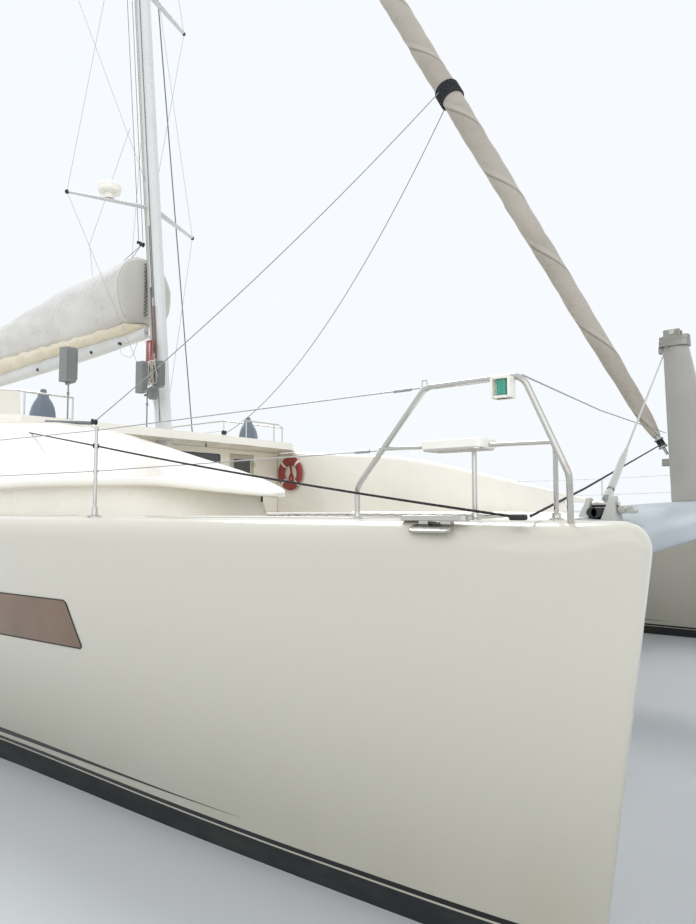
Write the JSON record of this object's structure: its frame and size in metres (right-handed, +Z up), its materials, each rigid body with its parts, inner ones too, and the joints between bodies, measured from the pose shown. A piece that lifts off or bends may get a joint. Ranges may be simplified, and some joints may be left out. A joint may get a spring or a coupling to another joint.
{
  "type": "sailing catamaran",
  "caption": "Cruising sailing catamaran with twin hulls, deckhouse, flybridge roof, raked mast, bagged mainsail on its boom, furled headsail, steel pulpits and netting between the bows.",
  "frame": {"origin": "amidships on the centreline, at the height of the water's surface", "axes": "+X forward to the bows, +Y to port, +Z up the mast's height"},
  "size_m": [22.9838, 11.84, 26.7],
  "materials": {
    "hull_paint": "glossy off-white gelcoat",
    "deck_paint": "pale non-slip deck",
    "antifouling": "matt black antifouling",
    "drive_paint": "grey enamel",
    "bronze": "cast bronze",
    "window_glass": "dark tinted glass",
    "stainless_steel": "polished stainless steel",
    "beam_paint": "blue-grey satin paint",
    "alloy_paint": "pale grey satin paint on alloy",
    "netting": "pale woven netting",
    "canvas": "taupe-grey acrylic canvas",
    "cover_cloth": "blue-grey cover cloth",
    "cushion_cloth": "pale upholstery cloth",
    "black_cover": "dark cover cloth",
    "lifebuoy_foam": "red-orange shell with white bands",
    "teak": "oiled teak"
  },
  "bodies": {
    "boat": {"hull_port": "hull_paint", "engine_and_drive_port": "drive_paint", "hull_starboard": "hull_paint", "engine_and_drive_starboard": "drive_paint", "bridgedeck": "deck_paint", "coachroof_port": "hull_paint", "coachroof_starboard": "hull_paint", "deckhouse_side_port": "hull_paint", "side_glass_port": "window_glass", "deckhouse_side_starboard": "hull_paint", "side_glass_starboard": "window_glass", "deckhouse_front": "hull_paint", "front_glass_port": "window_glass", "front_glass_starboard": "window_glass", "deckhouse_aft": "hull_paint", "aft_glass": "window_glass", "roof": "deck_paint", "roof_post_port": "hull_paint", "roof_post_starboard": "hull_paint", "crossbeam": "beam_paint", "walkway": "deck_paint", "trampoline_port": "netting", "trampoline_starboard": "netting", "striker": "alloy_paint", "mast": "alloy_paint", "radar_dome": "hull_paint", "shroud_port": "stainless_steel", "shroud_starboard": "stainless_steel", "bow_pulpit_port": "stainless_steel", "bow_pulpit_starboard": "stainless_steel", "guard_rail_port": "stainless_steel", "guard_rail_starboard": "stainless_steel", "roof_rail_port": "stainless_steel", "roof_rail_starboard": "stainless_steel", "helm_console": "hull_paint", "flybridge_bench": "hull_paint", "flybridge_cushion": "cushion_cloth", "cockpit_bench": "hull_paint", "cockpit_cushion": "cushion_cloth", "cockpit_table": "teak", "covered_winch_port": "cover_cloth", "covered_winch_starboard": "cover_cloth", "speaker_outer": "black_cover", "speaker_inner": "black_cover", "mooring_cleat_port": "stainless_steel", "mooring_cleat_starboard": "stainless_steel", "lifebuoy": "lifebuoy_foam"},
    "boom_with_sail": {"boom": "alloy_paint", "sail_bag": "canvas"},
    "headsail": {"furled_headsail": "canvas"},
    "rudder_port": {"rudder_port": "antifouling"},
    "rudder_starboard": {"rudder_starboard": "antifouling"},
    "propeller_port": {"propeller_port": "bronze"},
    "propeller_starboard": {"propeller_starboard": "bronze"},
    "front_door": {"front_door": "hull_paint"},
    "sliding_door": {"sliding_door": "window_glass"},
    "engine_hatch_port": {"engine_hatch_port": "deck_paint"},
    "engine_hatch_starboard": {"engine_hatch_starboard": "deck_paint"},
    "helm_wheel": {"helm_wheel": "stainless_steel"}
  },
  "joints": [
    {"name": "boom_swing", "type": "hinge", "parent": "boat", "child": "boom_with_sail", "pos_m": [0.83, 0, 5.585], "axis": [0, 0, 1], "range_deg": [-36, 36]},
    {"name": "headsail_furling", "type": "hinge", "parent": "boat", "child": "headsail", "pos_m": [10.23, 0, 2.88], "axis": [-0.465, 0, 0.8853], "continuous": true},
    {"name": "rudder_port_turn", "type": "hinge", "parent": "boat", "child": "rudder_port", "pos_m": [-10.35, 4.8, -0.4], "axis": [0, 0, 1], "range_deg": [-35, 35]},
    {"name": "rudder_starboard_turn", "type": "hinge", "parent": "boat", "child": "rudder_starboard", "pos_m": [-10.35, -4.8, -0.4], "axis": [0, 0, 1], "range_deg": [-35, 35]},
    {"name": "propeller_port_spin", "type": "hinge", "parent": "boat", "child": "propeller_port", "pos_m": [-8.35, 4.8, -0.8], "axis": [1, 0, 0], "continuous": true},
    {"name": "propeller_starboard_spin", "type": "hinge", "parent": "boat", "child": "propeller_starboard", "pos_m": [-8.35, -4.8, -0.8], "axis": [1, 0, 0], "continuous": true},
    {"name": "front_door_swing", "type": "hinge", "parent": "boat", "child": "front_door", "pos_m": [1.0145, 2.656, 2.7], "axis": [0, 0, 1], "range_deg": [0, 110]},
    {"name": "sliding_door_slide", "type": "slide", "parent": "boat", "child": "sliding_door", "axis": [0, -1, 0], "range_m": [0, 1.55]},
    {"name": "engine_hatch_port_lift", "type": "hinge", "parent": "boat", "child": "engine_hatch_port", "pos_m": [-6.85, 4.8, 2.055], "axis": [0, 1, 0], "range_deg": [0, 85]},
    {"name": "engine_hatch_starboard_lift", "type": "hinge", "parent": "boat", "child": "engine_hatch_starboard", "pos_m": [-6.85, -4.8, 2.055], "axis": [0, 1, 0], "range_deg": [0, 85]},
    {"name": "helm_wheel_turn", "type": "hinge", "parent": "boat", "child": "helm_wheel", "pos_m": [-2.84, -1.5, 4.3], "axis": [1, 0, 0], "range_deg": [-540, 540]}
  ],
  "couplings": [
    {"joint": "rudder_starboard_turn", "follows": "rudder_port_turn", "ratio": 1},
    {"joint": "helm_wheel_turn", "follows": "rudder_port_turn", "ratio": 15}
  ]
}
